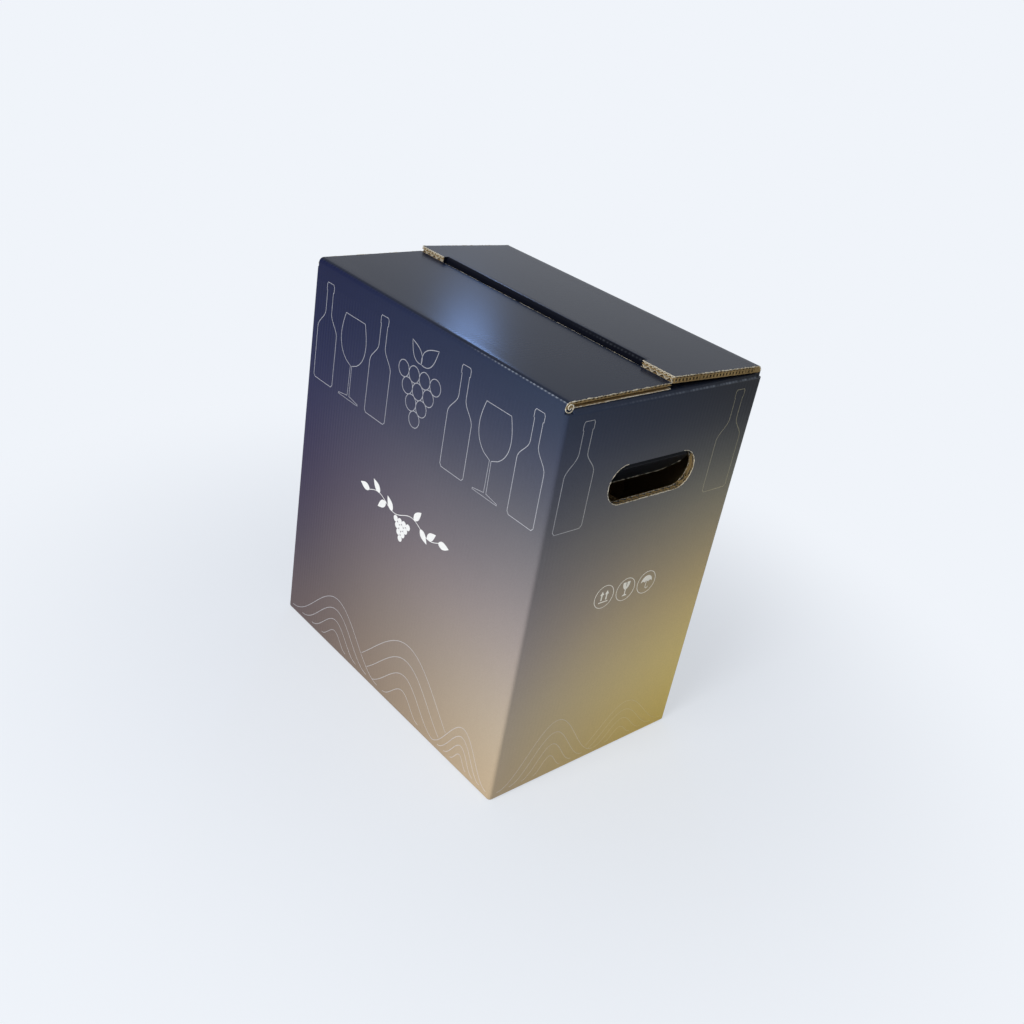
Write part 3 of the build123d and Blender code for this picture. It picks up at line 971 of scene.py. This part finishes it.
def roll_place(across, up):
    """A place on the liner over a hand hole's top edge, which drops where the hole is round."""
    row, along = round(up * roll_rows), (across - 0.5) * 2 * (roll_straight + roll_past)
    beyond = max(abs(along) - roll_straight, 0)
    drop = hole_height / 2 - math.sqrt((hole_height / 2) ** 2 - beyond ** 2)
    way = Vector((0, 0, -1)) if row < rim_rows else hang_way
    return profile[row] + way * drop + Vector((0, along, 0))


for name, turn in (("right_hand_flap", 0), ("left_hand_flap", math.pi)):
    flap = cad_copy(name, name + "_board")
    paint(flap, hole_painted_shade, kraft_liner, cut_kraft)
    turned = Matrix.Rotation(turn, 3, "Z")
    for face in flap.data.polygons:
        facing = face.normal.dot(turned @ face_way)
        face.material_index = 0 if facing > 0.9 else 1 if facing < -0.9 else 2
    smooth(flap)
    edge = frayed_edge("edge", free_edge, edge_thick, torn_paper, 71, 0.0016, (0.3, 0.3, 0.4, 1.2))
    edge.data.transform(
        Matrix.Rotation(turn, 4, "Z") @ Matrix.Translation(hinge) @ Matrix.Rotation(hand_lift, 4, "Y"))
    flap = join(name + "_board", [flap, edge])
    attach(flap, name)
    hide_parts(name)

    roll = add_grid(name + "_crease", roll_columns, roll_rows, roll_place, hair)
    roll.data.transform(Matrix.Rotation(turn, 4, "Z") @ Matrix.Translation(hinge))
    only(roll)
    bpy.ops.object.mode_set(mode="EDIT")
    bpy.ops.mesh.select_all(action="SELECT")
    bpy.ops.mesh.normals_make_consistent(inside=False)
    bpy.ops.object.mode_set(mode="OBJECT")
    paint(roll, hole_painted_shade)
    smooth(roll, 60)
    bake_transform(roll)

# The dividers: three sheets of single-wall kraft board, slotted into each other, which stand loose
# on the bottom and keep the six bottles apart. Their flutes stand upright and open at the top.
divider_kraft = kraft_material("divider_kraft", tint(174, 144, 100), tint(163, 133, 90))
divider_liner = 0.00035
for node in ("long_divider_1", "cross_divider_1", "cross_divider_2"):
    low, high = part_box(node)
    size, middle = high - low, (low + high) / 2
    turn = 0 if size.x > size.y else math.pi / 2
    divider = cad_copy(node, node + "_board")
    uncut = cad_copy(node, "uncut")
    half, thick = max(size.x, size.y) / 2, min(size.x, size.y) / 2 - divider_liner
    stand = (Matrix.Translation((middle.x, middle.y, high.z)) @ Matrix.Rotation(turn, 4, "Z")
             @ Matrix.Rotation(math.pi / 2, 4, "X"))
    start, end = Vector((-half, -flute_depth, -thick)), Vector((half, board, thick))
    beyond = Vector((board, 0, 0))
    groove = add_sheet("groove", start - beyond, end + beyond, cut_kraft)
    fluting = add_fluting("fluting", start, end, coarse_pitch, 8)
    for piece in (groove, fluting):
        piece.data.transform(stand)
    combine(divider, groove, "DIFFERENCE")
    combine(fluting, uncut, "INTERSECT")
    remove(groove, uncut)
    paint(divider, divider_kraft)
    divider = smooth(join(node + "_board", [divider, fluting]))
    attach(divider, "carton")
    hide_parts(node)

# The floor: a plain pale studio sheet. It keeps the box's soft shadow, and further out it runs into
# the backdrop's tone, so that no edge shows between them.
backdrop_pale = tint(240, 244, 250)


def seen_rays(tree):
    """One for the rays that show the plain backdrop: the camera's, and those mirrored or let through."""
    rays = add_node(tree, "ShaderNodeLightPath").outputs
    passed_on = add_math(tree, "MAXIMUM", rays["Is Glossy Ray"], rays["Is Transmission Ray"])
    return add_math(tree, "MAXIMUM", rays["Is Camera Ray"], passed_on)


def mix_shader(tree, factor, first, second):
    return add_node(tree, "ShaderNodeMixShader", {0: factor, 1: first, 2: second}).outputs[0]


def add_glow(tree, kind, strength):
    return add_node(tree, kind, {"Color": backdrop_pale, "Strength": strength}).outputs[0]


bpy.ops.mesh.primitive_plane_add(size=60, location=(0, 0, -0.0002))
floor = apply_place(bpy.context.object)
floor.name = "floor"
floor_pale, tree, shader, place = new_material("floor_pale", 0.9, 0.1)
shader.inputs["Base Color"].default_value = tint(240, 245, 252)
floor_lit = shader.outputs["BSDF"]
floor_far = add_glow(tree, "ShaderNodeEmission", 1.0)
floor_near = mix_shader(tree, 0.58, floor_lit, floor_far)
floor_squares = [add_math(tree, "POWER", place[way], 2.0) for way in ("X", "Y")]
floor_out = add_math(tree, "SQRT", add_math(tree, "ADD", *floor_squares))
floor_fade = add_range(tree, floor_out, 0.17, 0.55, kind="SMOOTHSTEP")
floor_view = mix_shader(tree, floor_fade, floor_near, floor_far)
floor_both = mix_shader(tree, seen_rays(tree), floor_lit, floor_view)
tree.links.new(floor_both, tree.nodes["Material Output"].inputs["Surface"])
paint(floor, floor_pale)

# The camera: at the photograph's angle, above the front right corner. Its roll carries the box's
# tilt, and its place and lens were fitted to the box's corners there.
heading, pitch_down, roll_angle = math.radians(44.61), math.radians(28.01), math.radians(10.61)
camera_data = bpy.data.cameras.new("camera")
camera = add_object("camera", camera_data)
camera.matrix_world = (
    Matrix.Translation((0.5625, -0.5535, 0.5710)) @ Matrix.Rotation(heading, 4, "Z")
    @ Matrix.Rotation(math.pi / 2 - pitch_down, 4, "X") @ Matrix.Rotation(roll_angle, 4, "Z"))
camera_data.lens = 38.95
camera_data.sensor_width = 36
camera_data.clip_start, camera_data.clip_end = 0.01, 200
bpy.context.scene.camera = camera

# The light: an even pale surround, one large soft lamp on the front, and a small cool one low
# behind, whose shine lies on the front flap.
world = bpy.data.worlds.new("surround")
bpy.context.scene.world = world
world.use_nodes = True
tree = world.node_tree
tree.nodes.clear()
ambient, backdrop = (add_glow(tree, "ShaderNodeBackground", strength) for strength in (0.39, 1.0))
both = mix_shader(tree, seen_rays(tree), ambient, backdrop)
tree.links.new(both, add_node(tree, "ShaderNodeOutputWorld").inputs["Surface"])


def add_lamp(name, place, aim, size, power, colour=(1, 1, 1)):
    data = bpy.data.lights.new(name, "AREA")
    data.shape = "DISK"
    data.size, data.energy, data.color = size, power, colour
    lamp = add_object(name, data)
    lamp.location = place
    lamp.rotation_euler = (Vector(aim) - Vector(place)).to_track_quat("-Z", "Y").to_euler()


add_lamp("front_lamp", (0.35, -2.0, 1.15), (0, 0, 0.17), 1.2, 40)
add_lamp("shine_lamp", (-0.825, 0.658, 0.782), (0.02, -0.08, 0.32), 0.1, 0.56, (0.28, 0.48, 1.0))

bpy.context.scene.view_settings.view_transform = "Standard"
